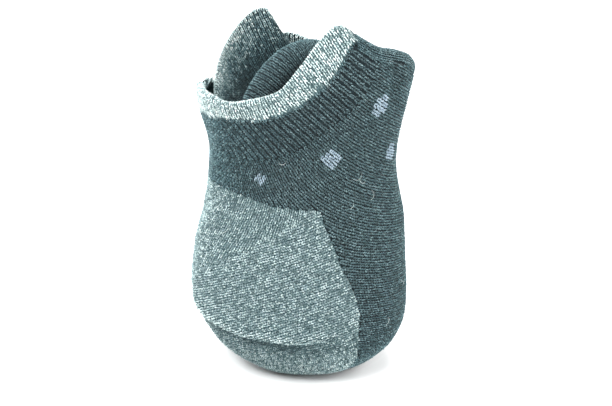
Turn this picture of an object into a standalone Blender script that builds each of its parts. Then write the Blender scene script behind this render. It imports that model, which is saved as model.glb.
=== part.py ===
"""A pair of ankle socks rolled from the toes and stood on the roll, cuffs up.

The outer sock wraps the bundle once.  Its pieces are shells on one shared body surface: heel
pocket, leg, rib and welt face the front, and the foot runs on round the right and the back until
it goes under the edge of the heel.  The second sock's cuff stands inside the mouth.  The rest of
both feet is one rolled solid with its layers showing at the two ends.
Angles go round the body: 0 is the front (-Y), 90 the right (+X), 180 the back, -90 the left.
All named sizes are in millimetres and degrees, and the meshes are in metres.
"""

import bmesh
import bpy
import numpy as np

MM = 0.001

CLOTH = 2.0  # wall of plain knit
WELT_CLOTH = 2.6  # wall of the turned welt, two layers
FOLDED_CLOTH = 4.0  # wall where the sock is folded flat, near and far side together
SEAM_GAP = 0.3
ROUNDNESS = 2.15  # power of the body's cross-section: 2 is an ellipse, more is squarer

WELT_WIDTH = 5.6
FLAP_WELT_WIDTH = 4.6
HEEL_ROWS = 14  # rows of points from the underside to the ankle
FOOT_TOP_ROWS = 7  # and from there up to the folded top edge
ANKLE_RISE = 3.0  # the foot's row at the ankle climbs by this much on its way round the back

LAP_LIFT = 1.5  # how far the heel's edge stands over the foot that goes under it
FOOT_SINK = 0.9  # how far the foot sinks before it goes under
LAP_REACH = 34.0  # degrees over which that lift dies away
SHIFT_X = 0.68  # centres the finished box on the origin

CORNER_ANGLE = 20.0  # where the opening's front corner stands: the rim's peak
CORNER_BLEND = 12.0  # degrees over which the rib thickens into the folded edge past that corner
ANKLE_HEIGHT = 60.0
UNDER_HEIGHT = 8.0  # lifts and sinks fade out below this, towards the flat underside
FOLD_RUN = 8.0  # height over which single cloth thickens to the folded top edge
NECK_PINCH = 0.9  # the rib draws the ankle in by this much
NECK_HEIGHT = 4.2
NECK_MIDDLE = -20.0  # angle of the middle of that pinch
NECK_REACH = 44.0
RELIEF_LEFT, RELIEF_RIGHT = -126.0, 40.0  # the folds lie between these angles


def table(columns, rows):
    """Named columns of a short table, as arrays."""
    return dict(zip(columns.split(), np.array(rows, float).T))


# The body's cross-sections, from the middle of the underside up to above the rim.
RINGS = table(
    "height centre_x centre_y half_width half_depth",
    [
        (0.0, 0.0, 0.0, 6.0, 4.5),
        (0.0, 0.0, 0.0, 12.5, 10.0),
        (1.2, 0.0, 0.0, 17.2, 14.2),
        (3.4, 0.2, 0.0, 21.8, 18.0),
        (6.5, 0.2, 0.0, 25.8, 21.0),
        (10.5, 0.1, 0.0, 29.4, 23.8),
        (17.0, -0.5, 0.0, 32.7, 26.0),
        (26.0, -1.1, 0.0, 33.9, 27.0),
        (34.0, -1.2, 0.0, 33.6, 27.0),
        (43.0, -0.8, 0.0, 32.7, 26.4),
        (51.0, 0.0, 0.0, 31.4, 25.4),
        (58.5, 0.0, 0.0, 29.9, 24.2),
        (66.0, 0.0, 0.0, 28.9, 23.5),
        (74.0, 0.5, 0.0, 28.9, 23.5),
        (82.0, 0.4, 0.0, 30.3, 23.9),
        (90.0, 0.1, 0.0, 32.3, 24.1),
        (100.0, 0.2, 0.3, 34.0, 23.0),
        (114.0, 0.2, 1.0, 33.6, 19.0),
    ],
)

# Lines on the body, each as a height at an angle.
RIM = table(
    "angle height",
    [
        (-111, 90.6), (-101, 91.6), (-92, 92.2), (-81, 92.8), (-70, 93.0), (-57, 92.8),
        (-44, 92.2), (-34, 92.7), (-27, 93.5), (-19, 94.6), (-10, 96.9), (-5, 100.0),
        (-1, 103.4), (4, 108.2), (8, 111.2), (13, 113.8), (20, 114.6),
    ],
)
WELT_FOOT = table(
    "angle height",
    [
        (-111, 82.8), (-92, 83.4), (-81, 83.9), (-70, 84.8), (-57, 85.6), (-43, 86.4), (-26, 87.2),
        (-15, 88.2), (-4, 91.0), (1, 93.4), (6, 96.0), (12, 99.6), (16, 102.8), (20, 107.2),
        (24, 111.6),
    ],
)
FOLD_TOP = table(
    "angle height",
    [
        (20, 114.4), (24, 112.6), (30, 110.3), (38, 108.2), (51, 107.3), (60, 106.2), (68, 104.4),
        (78, 101.0), (90, 97.6), (115, 90.0), (145, 83.0), (180, 80.0), (215, 79.5), (268, 81.0),
    ],
)
RIB_END = table(
    "angle height",
    [
        (-110, 74.0), (-72, 74.0), (-39, 74.6), (-18, 75.4), (-1, 79.4), (13, 85.4), (28, 92.2),
        (36, 97.0),
    ],
)
HEEL_TOP = table(
    "angle height",
    [(-130, 63.0), (-71, 64.0), (-45, 63.6), (-27, 62.3), (-14, 60.9), (-5, 60.5), (9, 60.0)],
)
CREASE = table(
    "angle height depth",
    [
        (-125, 22.0, 0.1), (-98, 22.6, 0.4), (-84, 22.3, 1.0), (-70, 21.3, 2.0), (-46, 19.9, 2.6),
        (-31, 18.6, 2.3), (-17, 18.1, 1.8), (-5, 17.4, 1.3), (8, 18.2, 0.6), (18, 18.6, 0.0),
    ],
)

# Upright lines, each as an angle at a height.
GUSSET = table(
    "height angle",
    [(0, 36), (10, 33), (17, 31), (27, 31), (35, 27), (42, 21), (50, 15), (57, 10), (60, 9)],
)
LEG_FRONT = table("height angle", [(60, 9), (108, 41)])
LAP = table("height angle", [(0, -126), (55, -125), (68, -118), (80, -107), (92, -97)])

# The mouth's far side, from the front corner of the opening round to the left corner.
FAR_SIDE = table(
    "x y rim",
    [
        (15.0, -12.0, 109.0), (12.5, -3.0, 104.4), (8.0, 6.0, 101.8), (2.0, 11.5, 102.4),
        (-5.0, 14.0, 103.6), (-12.0, 14.8, 100.4), (-18.0, 14.0, 95.0), (-23.0, 11.4, 91.4),
        (-26.8, 8.0, 89.8),
    ],
)

# The second sock's cuff, standing inside the mouth, from its left edge round to its right edge.
FLAP = table(
    "x y top",
    [
        (-24.0, -9.0, 86.0), (-25.0, -3.0, 92.6), (-23.8, 3.0, 99.6), (-19.8, 7.4, 106.4),
        (-14.6, 9.4, 111.4), (-10.6, 9.6, 112.4), (-7.0, 9.2, 106.4), (-3.6, 8.2, 98.0),
        (-1.6, 7.4, 92.4),
    ],
)
FLAP_FOOT = 79.0  # height at which it goes in among the layers
FAR_FOOT = 81.0  # and the same for the mouth's far side
FLAP_WELT_END = 0.62  # share of its width that carries the welt

# The rolled-over rib in the mouth, from its low end at the front to its high end at the back.
FOLD_ROLL = table(
    "x y height half_thickness half_depth",
    [
        (-16.4, -11.4, 83.6, 2.4, 2.6), (-14.2, -9.6, 87.6, 4.4, 4.6), (-9.8, -6.4, 93.0, 5.4, 5.4),
        (-4.0, -3.0, 98.2, 5.6, 5.6), (1.8, 0.0, 100.4, 5.2, 5.2), (6.2, 1.0, 100.4, 4.0, 3.8),
        (8.6, 1.2, 99.4, 1.8, 1.8),
    ],
)

# The shoulder of the rolled feet: how far it lies under the body surface at each height.
ROLL_SHOULDER = table("height depth", [(66.0, 0.6), (71.0, 2.4), (74.5, 5.0)])
ROLL_DEPTH = CLOTH + FOOT_SINK + SEAM_GAP + 0.2  # and the same below the shoulder
ROLL_PEG = 0.92  # share of the body's innermost ring that the roll fills, down to the underside
ROLL_TOP = 75.0
ROLL_TURNS = 3.0  # layers that show on the roll's top
ROLL_RIDGE = 1.3

COLOURS = {
    "heather_light": (0.262, 0.330, 0.338),
    "charcoal_knit": (0.072, 0.108, 0.116),
    "charcoal_rib": (0.080, 0.122, 0.133),
}


def through(xs, ys, x):
    """A smooth curve through the points (xs, ys), read at x."""
    x = np.clip(x, xs[0], xs[-1])
    slopes = np.gradient(ys, xs)
    i = np.clip(np.searchsorted(xs, x, side="right") - 1, 0, len(xs) - 2)
    run = xs[i + 1] - xs[i]
    f = (x - xs[i]) / run
    rise = ys[i] * (2 * f**3 - 3 * f**2 + 1) + ys[i + 1] * (3 * f**2 - 2 * f**3)
    return rise + run * (slopes[i] * (f**3 - 2 * f**2 + f) + slopes[i + 1] * (f**3 - f**2))


def height_at(line, angle):
    return through(line["angle"], line["height"], angle)


def angle_at(line, height):
    return through(line["height"], line["angle"], height)


def ring_value(column, level):
    return through(np.arange(len(RINGS[column]), dtype=float), RINGS[column], level)


def level_at(height):
    """The body's level, counted in rings, at a height above the underside."""
    levels = np.linspace(1, len(RINGS["height"]) - 1, 900)
    return np.interp(height, ring_value("height", levels), levels)


def soft_step(x):
    x = np.clip(x, 0, 1)
    return x * x * (3 - 2 * x)


def fold_relief(angle, height):
    """How far the body's folds push its surface out (+) or in (-)."""
    away = (angle + 180) % 360 - 180
    below = height_at(CREASE, away) - height
    tuck = soft_step((below + 0.4) / 1.5) * (0.35 + 0.65 * soft_step(1 - (below - 3) / 13))
    lip = 0.24 * np.exp(-(((below + 1.5) / 1.5) ** 2))
    crease = through(CREASE["angle"], CREASE["depth"], away) * (lip - tuck) * soft_step(height / 3)
    above_neck = height - height_at(RIB_END, away) + CLOTH
    near_neck = soft_step((NECK_REACH - np.abs(away - NECK_MIDDLE)) / 30)
    pinch = -NECK_PINCH * np.exp(-((above_neck / NECK_HEIGHT) ** 2)) * near_neck
    return np.where((away > RELIEF_LEFT) & (away < RELIEF_RIGHT), crease + pinch, 0.0)


def body(angle, level):
    """A point on the outside of the wrapped cloth."""
    turn = np.radians(angle)
    side, front = np.sin(turn), np.cos(turn)
    power = 2 / ROUNDNESS
    across = np.sign(side) * np.abs(side) ** power
    ahead = np.sign(front) * np.abs(front) ** power
    x = ring_value("centre_x", level) + ring_value("half_width", level) * across + SHIFT_X
    y = ring_value("centre_y", level) - ring_value("half_depth", level) * ahead
    return np.array([x, y, max(ring_value("height", level), 0.0)])


def inward(angle, level):
    """The direction into the bundle, square to its surface."""
    low = max(level - 0.05, 0.0)
    along = body(angle + 1.0, level) - body(angle - 1.0, level)
    up = body(angle, level + 0.05) - body(angle, low)
    normal = np.cross(up, along)
    return normal / np.linalg.norm(normal)


def on_body(angle, level, lift=0.0):
    """A point on the folded surface, lifted off it by so many millimetres."""
    out = lift + fold_relief(angle, ring_value("height", level))
    return body(angle, level) - inward(angle, level) * out


def wall_section(outer, directions, thickness, round_top):
    """The closed outline of one strip of cloth, from its outer line, bottom to top."""
    outer = np.array(outer)
    inner = outer + np.array(directions) * np.asarray(thickness)[:, None]
    top = bulge(outer[-1], inner[-1], outer[-1] - outer[-2]) if round_top else []
    return [*outer, *top, *inner[::-1]]


def bulge(start, end, ahead):
    """Three points on the half circle from start to end, on the side that lies ahead."""
    middle = (start + end) / 2
    arm = (start - end) / 2
    ahead = ahead - arm * (ahead @ arm) / (arm @ arm)
    ahead = ahead / np.linalg.norm(ahead) * np.linalg.norm(arm)
    turns = np.radians([45, 90, 135])
    return [middle + arm * np.cos(turn) + ahead * np.sin(turn) for turn in turns]


def close_end(shape, ring):
    """Fills an end outline with faces from its one side straight across to the other."""
    low, high = 0, len(ring) - 1
    while high - low > 2:
        shape.faces.new((ring[low], ring[low + 1], ring[high - 1], ring[high]))
        low += 1
        high -= 1
    if high - low == 2:
        shape.faces.new((ring[low], ring[low + 1], ring[high]))


def loft(name, sections, colour, roughness=0.95):
    """One closed solid through a row of outlines with equal numbers of points."""
    mesh = bpy.data.meshes.new(name)
    shape = bmesh.new()
    rings = [[shape.verts.new(point * MM) for point in section] for section in sections]
    count = len(rings[0])
    for ring, following in zip(rings, rings[1:]):
        for i in range(count):
            j = (i + 1) % count
            shape.faces.new((ring[i], ring[j], following[j], following[i]))
    close_end(shape, rings[0])
    close_end(shape, rings[-1])
    bmesh.ops.triangulate(shape, faces=shape.faces[:])
    bmesh.ops.recalc_face_normals(shape, faces=shape.faces[:])
    shape.to_mesh(mesh)
    shape.free()
    mesh.shade_smooth()
    mesh.set_sharp_from_angle(angle=np.radians(50))
    mesh.materials.append(knit_material(colour, roughness))
    piece = bpy.data.objects.new(name, mesh)
    bpy.context.scene.collection.objects.link(piece)
    return piece


def knit_material(name, roughness):
    material = bpy.data.materials.get(name)
    if material is None:
        material = bpy.data.materials.new(name)
        material.use_nodes = True
        shader = material.node_tree.nodes["Principled BSDF"]
        shader.inputs["Base Color"].default_value = (*COLOURS[name], 1.0)
        shader.inputs["Roughness"].default_value = roughness
        shader.inputs["Metallic"].default_value = 0.0
    return material


def rows_from_underside(_share, _column, _angle, top_level):
    return np.linspace(0, top_level, HEEL_ROWS)


def rows_by_the_ankle(share, _column, _angle, top_level):
    """Rows from the underside that have one in common with the heel's top and the leg's foot."""
    ankle = level_at(ANKLE_HEIGHT + ANKLE_RISE * share)
    below = np.linspace(0, ankle, HEEL_ROWS)
    above = np.linspace(ankle, top_level, FOOT_TOP_ROWS)
    return np.array([*below, *above[1:]])


def rows_above(bottom, count):
    """So many rows from a bottom line, a height at an angle, up to the top."""

    def rows(_share, column, angle, top_level):
        low = settle(bottom, column, angle)
        return np.linspace(level_at(low), top_level, count)

    return rows


def settle(line, column, angle):
    """The height at which a column meets a line that gives a height at an angle."""
    for _ in range(4):
        height = line(angle)
        angle = column(height)
    return height


def body_panel(name, colour, left, right, rows, top, columns, thickness, lift, round_top=False):
    """A panel of the wrap, column by column. Left and right give an angle at a height, top gives
    a height at an angle, and rows gives the levels of a column."""
    sections = []
    for share in np.linspace(0, 1, columns):

        def column(height, share=share):
            return right(height) * share + left(height) * (1 - share)

        high = settle(top, column, column(ANKLE_HEIGHT))
        levels = rows(share, column, column(high), level_at(high))
        heights = ring_value("height", levels)
        angles = [column(h) for h in heights]
        outer = [on_body(a, v, lift(a, h)) for a, v, h in zip(angles, levels, heights)]
        directions = [inward(a, v) for a, v in zip(angles, levels)]
        walls = [thickness(a, h) for a, h in zip(angles, heights)]
        sections.append(wall_section(outer, directions, walls, round_top))
    return loft(name, sections, colour)


def lap_lift(angle, height):
    """The heel's and the leg's edge stands over the end of the foot."""
    past = (angle - angle_at(LAP, height)) / LAP_REACH
    return LAP_LIFT * (1 - soft_step(past)) * soft_step(height / UNDER_HEIGHT)


def foot_lift(angle, height):
    """The foot sinks a little before it goes under that edge."""
    left = (angle_at(LAP, height) + 360 - angle) / LAP_REACH
    return -FOOT_SINK * (1 - soft_step(left)) * soft_step(height / UNDER_HEIGHT)


def foot_wall(angle, height):
    """Single cloth below, and the flattened tube's two layers near its folded top edge."""
    below_top = height_at(FOLD_TOP, angle) - height
    return CLOTH + (FOLDED_CLOTH - CLOTH) * (1 - soft_step((below_top - CLOTH) / FOLD_RUN))


def rib_wall(angle, height):
    """The rib thickens where it comes to the fold beside the opening's front corner."""
    past_corner = soft_step((angle - CORNER_ANGLE + CLOTH) / CORNER_BLEND)
    return CLOTH + (foot_wall(max(angle, CORNER_ANGLE), height) - CLOTH) * past_corner


def rim_lift(angle, height):
    """The rim rolls outwards a little, most of all at the left corner."""
    near = 1 - (height_at(RIM, angle) - height) / WELT_WIDTH
    return (0.3 + 0.3 * soft_step((-40 - angle) / 40)) * soft_step(near)


def gap_degrees(height):
    """The seam gap as an angle at a height."""
    return np.degrees(SEAM_GAP / ring_value("half_depth", level_at(height)))


def outer_sock():
    half = SEAM_GAP / 2

    def lap_edge(height):
        return angle_at(LAP, height) + gap_degrees(height) / 2

    def gusset_heel(height):
        return angle_at(GUSSET, min(height, ANKLE_HEIGHT)) - gap_degrees(height) / 2

    def gusset_foot(height):
        line = GUSSET if height < ANKLE_HEIGHT else LEG_FRONT
        return angle_at(line, height) + gap_degrees(height) / 2

    def leg_front(height):
        return angle_at(LEG_FRONT, height) - gap_degrees(height) / 2

    def foot_end(height):
        return angle_at(LAP, height) + 360 - gap_degrees(height) / 2

    def foot_top(angle):
        return height_at(FOLD_TOP, max(angle, CORNER_ANGLE)) - FOLDED_CLOTH / 2

    def under_welt(angle):
        rim = height_at(WELT_FOOT, angle) - half - CLOTH / 2
        return rim + (foot_top(angle) - rim) * soft_step((angle - CORNER_ANGLE - 1) / 4)

    def heel_top(angle):
        return height_at(HEEL_TOP, angle) - half

    def leg_top(angle):
        return height_at(RIB_END, angle) - half

    def welt_top(angle):
        return height_at(RIM, angle) - WELT_CLOTH / 2

    def plain(_angle, _height):
        return CLOTH

    def double(_angle, _height):
        return WELT_CLOTH

    leg_rows = rows_above(lambda angle: height_at(HEEL_TOP, angle) + half, 7)
    rib_rows = rows_above(lambda angle: height_at(RIB_END, angle) + half, 7)
    welt_rows = rows_above(lambda angle: height_at(WELT_FOOT, angle) + half, 4)

    def welt_end(_height):
        return CORNER_ANGLE - 1.0

    body_panel(
        "heel_pocket", "heather_light", lap_edge, gusset_heel, rows_from_underside, heel_top, 25,
        plain, lap_lift,
    )
    body_panel(
        "leg", "charcoal_knit", lap_edge, leg_front, leg_rows, leg_top, 22, plain, lap_lift,
    )
    body_panel(
        "foot", "charcoal_knit", gusset_foot, foot_end, rows_by_the_ankle, foot_top, 29,
        foot_wall, foot_lift, True,
    )
    body_panel(
        "cuff_rib_front", "charcoal_rib", lap_edge, leg_front, rib_rows, under_welt, 24,
        rib_wall, lap_lift, True,
    )
    body_panel(
        "cuff_welt_front", "heather_light", lap_edge, welt_end, welt_rows, welt_top, 23,
        double, rim_lift, True,
    )


def along_curve(line, column, share):
    """A column of a table that follows a curve, read at a share of its length."""
    return through(np.linspace(0, 1, len(line[column])), line[column], share)


def standing_wall(name, colour, line, end, columns, bottom, top, rows, thickness, round_top):
    """A wall that stands on a plan curve, between two heights given along it."""

    def plan(share):
        return np.array([along_curve(line, "x", share) + SHIFT_X, along_curve(line, "y", share)])

    sections = []
    for share in np.linspace(0, end, columns):
        along = plan(min(share + 0.01, 1.0)) - plan(max(share - 0.01, 0.0))
        across = np.array([along[1], -along[0], 0.0]) / np.linalg.norm(along)
        heights = np.linspace(bottom(share), top(share), rows)
        outer = [np.array([*plan(share), h]) for h in heights]
        sections.append(wall_section(outer, [across] * rows, [thickness] * rows, round_top))
    return loft(name, sections, colour)


def far_cuff():
    """The far half of the outer sock's cuff, seen through its mouth."""
    half = SEAM_GAP / 2

    def rim(share):
        return along_curve(FAR_SIDE, "rim", share)

    standing_wall(
        "cuff_welt_back", "heather_light", FAR_SIDE, 1.0, 17,
        lambda share: rim(share) - WELT_WIDTH + half, lambda share: rim(share) - WELT_CLOTH / 2,
        4, WELT_CLOTH, True,
    )
    standing_wall(
        "cuff_rib_back", "charcoal_rib", FAR_SIDE, 1.0, 17,
        lambda _share: FAR_FOOT, lambda share: rim(share) - WELT_WIDTH - half, 5, CLOTH, False,
    )


def second_sock():
    """The second sock's cuff: a standing flap with its welt, and its near side rolled over."""
    half = SEAM_GAP / 2

    def rim(share):
        return along_curve(FLAP, "top", share)

    def rib_top(share):
        under = rim(share) - FLAP_WELT_WIDTH - SEAM_GAP
        past = soft_step((share - FLAP_WELT_END) / 0.04)
        return under + (rim(share) - CLOTH / 2 - under) * past

    standing_wall(
        "second_cuff_rib", "charcoal_rib", FLAP, 1.0, 25,
        lambda _share: FLAP_FOOT, rib_top, 6, CLOTH, True,
    )
    standing_wall(
        "second_cuff_welt", "heather_light", FLAP, FLAP_WELT_END - 0.01, 15,
        lambda share: rim(share) - FLAP_WELT_WIDTH + half + CLOTH / 2,
        lambda share: rim(share) - WELT_CLOTH / 2, 4, WELT_CLOTH, True,
    )

    def middle(share):
        x, y, height = (along_curve(FOLD_ROLL, axis, share) for axis in ("x", "y", "height"))
        return np.array([x + SHIFT_X, y, height])

    sections = []
    for share in np.linspace(0, 1, 15):
        along = middle(min(share + 0.07, 1.0)) - middle(max(share - 0.07, 0.0))
        across = np.cross(along, (0.0, 0.0, 1.0))
        across = across / np.linalg.norm(across)
        up = np.cross(across, along)
        up = up / np.linalg.norm(up) * along_curve(FOLD_ROLL, "half_thickness", share)
        across = across * along_curve(FOLD_ROLL, "half_depth", share)
        turns = np.linspace(0, 2 * np.pi, 14, endpoint=False)
        sections.append([middle(share) + across * np.cos(t) + up * np.sin(t) for t in turns])
    loft("second_cuff_fold", sections, "charcoal_rib")


def rolled_feet():
    """Both feet rolled up: one rounded solid, its layers showing as a spiral on the top."""
    angles = np.linspace(0, 360, 30, endpoint=False)

    def ring(level, depth, share, height=None, ridge=0.0):
        points = []
        for angle in angles:
            edge = on_body(angle, level, -depth)
            centre = np.array([SHIFT_X, 0.0, edge[2]])
            point = centre + (edge - centre) * share
            if height is not None:
                point[2] = height + ridge * np.cos(2 * np.pi * (ROLL_TURNS * share - angle / 360))
            points.append(point)
        return points

    sections = [ring(0.0, 0.0, ROLL_PEG, 0.0), ring(0.0, 0.0, ROLL_PEG, CLOTH)]
    for level in np.linspace(0, level_at(ANKLE_HEIGHT + ANKLE_RISE / 2), HEEL_ROWS):
        sections.append(ring(level, ROLL_DEPTH, 1.0))
    for height, depth in zip(ROLL_SHOULDER["height"], ROLL_SHOULDER["depth"]):
        sections.append(ring(level_at(height), ROLL_DEPTH + depth, 1.0))
    for share in np.linspace(0.96, 0.10, 12):
        ridge = ROLL_RIDGE * soft_step((1 - share) * 6)
        sections.append(ring(level_at(height), ROLL_DEPTH + depth, share, ROLL_TOP, ridge))
    loft("rolled_feet", sections, "charcoal_knit")


def clear_scene():
    for thing in list(bpy.data.objects):
        bpy.data.objects.remove(thing, do_unlink=True)


clear_scene()
outer_sock()
far_cuff()
second_sock()
rolled_feet()
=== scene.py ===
"""A pair of heathered ankle socks, rolled from the toes and stood on the roll with the cuffs up.

Every piece of cloth is a thin shell on the form of its solid, and the knit on it is real: each
stitch is a V of two yarn legs, set where the cloth's wales and courses cross.  Wales are the
columns of stitches and courses are the rows.  Angles go round the body: 0 is the front (-Y), 90 the
right (+X), 180 the back, -90 the left.  Sizes are in millimetres until a mesh is made.
"""

import bpy
import numpy as np
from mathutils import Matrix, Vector


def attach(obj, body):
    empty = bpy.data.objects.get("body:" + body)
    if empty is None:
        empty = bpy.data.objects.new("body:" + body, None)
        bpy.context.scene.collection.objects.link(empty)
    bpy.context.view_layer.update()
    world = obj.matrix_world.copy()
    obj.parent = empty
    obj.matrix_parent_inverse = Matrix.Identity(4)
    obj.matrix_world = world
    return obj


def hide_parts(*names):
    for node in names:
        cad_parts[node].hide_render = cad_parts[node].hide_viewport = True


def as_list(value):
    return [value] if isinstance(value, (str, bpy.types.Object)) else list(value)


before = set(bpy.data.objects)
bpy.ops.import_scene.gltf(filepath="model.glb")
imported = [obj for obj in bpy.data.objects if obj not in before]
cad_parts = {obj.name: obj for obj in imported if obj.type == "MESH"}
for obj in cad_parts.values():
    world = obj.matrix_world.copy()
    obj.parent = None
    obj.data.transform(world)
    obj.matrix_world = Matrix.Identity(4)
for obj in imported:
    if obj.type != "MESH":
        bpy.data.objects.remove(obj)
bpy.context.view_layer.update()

MM = 0.001


def table(columns, rows):
    """Named columns of a short table, as arrays."""
    return dict(zip(columns.split(), np.array(rows, float).T))


# ---------------------------------------------------------------- sizes of the bundle

CLOTH = 2.0
ROUNDNESS = 2.15  # of the body's sections: 2 is an ellipse, more is squarer
WELT_WIDTH = 5.6
RIM_ROLL = 0.2  # how far the cuff's rim rolls out
LAP_LIFT = 1.5
FOOT_SINK = 0.9
LAP_REACH = 34.0  # degrees over which the lap's edge settles
EDGE_ROUND = 2.3  # the lapping edge turns down onto the foot
SHIFT_X = 0.68
CORNER_ANGLE = 20.0  # where the cuff's rim meets the foot's folded edge
ANKLE_HEIGHT = 60.0
NECK_ANGLE = -20.0
NECK_PINCH = 0.9
NECK_HEIGHT = 4.2

RINGS = table(
    "height centre_x centre_y half_width half_depth",
    [
        (0.0, 0.0, 0.0, 6.0, 4.5),
        (0.0, 0.0, 0.0, 12.5, 10.0),
        (1.2, 0.0, 0.0, 17.2, 14.2),
        (3.4, 0.2, 0.0, 21.8, 18.0),
        (6.5, 0.2, 0.0, 25.8, 21.0),
        (10.5, 0.1, 0.0, 29.4, 23.8),
        (17.0, -0.5, 0.0, 32.7, 26.0),
        (26.0, -1.1, 0.0, 33.9, 27.0),
        (34.0, -1.2, 0.0, 33.6, 27.0),
        (43.0, -0.8, 0.0, 32.7, 26.4),
        (51.0, 0.0, 0.0, 31.4, 25.4),
        (58.5, 0.0, 0.0, 29.9, 24.2),
        (66.0, 0.0, 0.0, 28.9, 23.5),
        (74.0, 0.5, 0.0, 28.9, 23.5),
        (82.0, 0.4, 0.0, 30.3, 23.9),
        (90.0, 0.1, 0.0, 32.3, 24.1),
        (100.0, 0.2, 0.3, 34.0, 23.0),
        (114.0, 0.2, 1.0, 33.6, 19.0),
    ],
)
# The cuff's welt on the outside of the bundle: its rim, and below it the line where the rib begins.
WELT = table(
    "rim_angle rim_height foot_angle foot_height",
    [
        (-110, 90.2, -110, 82.4), (-101, 91.8, -101, 82.8), (-92, 92.5, -92, 83.2),
        (-81, 93.0, -81, 83.8), (-70, 93.2, -70, 84.8), (-57, 92.8, -57, 85.6),
        (-44, 92.0, -43, 86.4), (-34, 92.7, -31, 87.0), (-27, 93.7, -24, 87.3),
        (-19, 94.9, -15, 88.3), (-10, 97.0, -4, 91.0), (-5, 100.0, 1, 93.4), (-1, 103.4, 6, 96.0),
        (4, 108.0, 12.4, 99.6),
        (9, 111.8, 17, 103.0), (14, 114.6, 21, 107.2), (19, 115.2, 24.5, 109.6),
        (24, 113.8, 27.5, 109.4),
    ],
)
FOLD_TOP = table(
    "angle height",
    [
        (20, 113.9), (24, 113.2), (30, 111.2), (38, 108.9), (50, 107.0), (60, 105.6), (68, 104.2),
        (77, 101.8), (90, 98.2), (115, 90.0), (145, 83.0), (180, 80.0), (215, 79.5), (268, 81.0),
    ],
)
RIB_END = table(
    "angle height",
    [
        (-110, 74.0), (-72, 74.0), (-39, 74.6), (-18, 75.4), (-1, 79.4), (13, 85.4), (28, 92.2),
        (36, 97.0),
    ],
)
HEEL_TOP = table(
    "angle height",
    [(-130, 63.0), (-71, 64.0), (-45, 63.6), (-27, 62.3), (-14, 60.9), (-5, 60.5), (9, 60.0)],
)
CREASE = table(
    "angle height depth",
    [
        (-125, 22.0, 0.0), (-98, 22.6, 0.3), (-84, 22.3, 1.0), (-70, 21.3, 2.0), (-46, 19.9, 2.6),
        (-31, 18.6, 2.5), (-17, 18.1, 2.0), (-5, 17.4, 1.5), (10, 18.4, 0.7), (22, 18.8, 0.0),
    ],
)
# The crease in section: how far below its line, how wide, and the share of its depth.
CREASE_EDGES = table("below width share", [(-1.6, 1.5, 0.30), (1.8, 1.1, -0.45)])
# Painted light at the crease: a painted highlight on its lip, and painted shade on the cloth under it.
CREASE_PAINTED_LIGHT = table("below width share", [(-1.3, 1.1, 0.24), (2.8, 2.2, -0.36)])
GUSSET = table(
    "height angle",
    [(0, 36), (10, 33), (17, 31), (27, 31), (35, 27), (42, 21), (50, 15), (57, 10), (60, 9)],
)
LEG_FRONT = table("height angle", [(60, 9), (108, 41)])
LAP = table("height angle", [(0, -126), (55, -125), (68, -118), (80, -107), (92, -97)])
# The far side of the mouth, from the front corner of the opening round to the left corner.
FAR_SIDE = table(
    "rim_x rim_y rim_height foot_x foot_y foot_height",
    [
        (13.6, -17.6, 111.6, 15.0, -13.0, 81.0), (14.6, -12.0, 109.0, 15.0, -9.0, 81.0),
        (12.6, -3.0, 104.4, 13.0, -2.0, 81.0), (8.0, 6.0, 101.8, 8.0, 7.0, 81.0),
        (2.0, 11.5, 102.4, 2.0, 11.6, 81.0), (-5.0, 14.0, 103.6, -5.0, 13.4, 81.0),
        (-12.0, 15.6, 99.0, -12.0, 14.6, 81.0), (-18.0, 14.6, 90.0, -18.0, 14.0, 80.0),
        (-22.8, 12.4, 87.4, -22.6, 12.0, 78.5), (-26.4, 9.6, 89.2, -26.0, 9.4, 78.0),
        (-29.2, 6.8, 90.8, -28.4, 6.6, 78.0), (-30.8, 4.2, 91.4, -29.8, 4.2, 78.0),
    ],
)
# The second sock's cuff in the mouth: its wales run from its rim down to its foot.
FLAP = table(
    "rim_x rim_y rim_height foot_x foot_y foot_height",
    [
        (-23.4, -9.4, 84.6, -20.6, -9.6, 79.0), (-24.8, -6.0, 90.0, -17.5, -6.0, 79.0),
        (-24.8, -2.0, 95.0, -14.0, -2.0, 79.0), (-23.4, 2.6, 100.6, -10.0, 1.5, 79.0),
        (-20.4, 6.2, 105.8, -6.0, 3.4, 80.0), (-16.8, 8.4, 109.8, -3.0, 4.4, 82.0),
        (-13.6, 9.3, 112.0, -0.6, 4.8, 86.0), (-10.6, 9.2, 112.2, 1.2, 4.8, 90.0),
        (-9.0, 8.8, 110.6, 2.2, 4.8, 93.0),
    ],
)
FOLD_ROLL = table(
    "x y height half_thickness half_depth",
    [
        (-17.2, -11.6, 79.8, 2.6, 2.8), (-14.4, -9.6, 87.0, 4.4, 4.6), (-9.8, -6.4, 93.0, 5.6, 5.8),
        (-4.0, -2.4, 98.2, 5.8, 6.0), (1.8, 0.6, 100.4, 5.4, 5.6), (6.2, 1.4, 100.4, 4.2, 4.2),
        (8.6, 1.6, 99.4, 1.8, 1.8),
    ],
)

MM_PER_DEGREE = 0.52  # round the body
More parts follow.
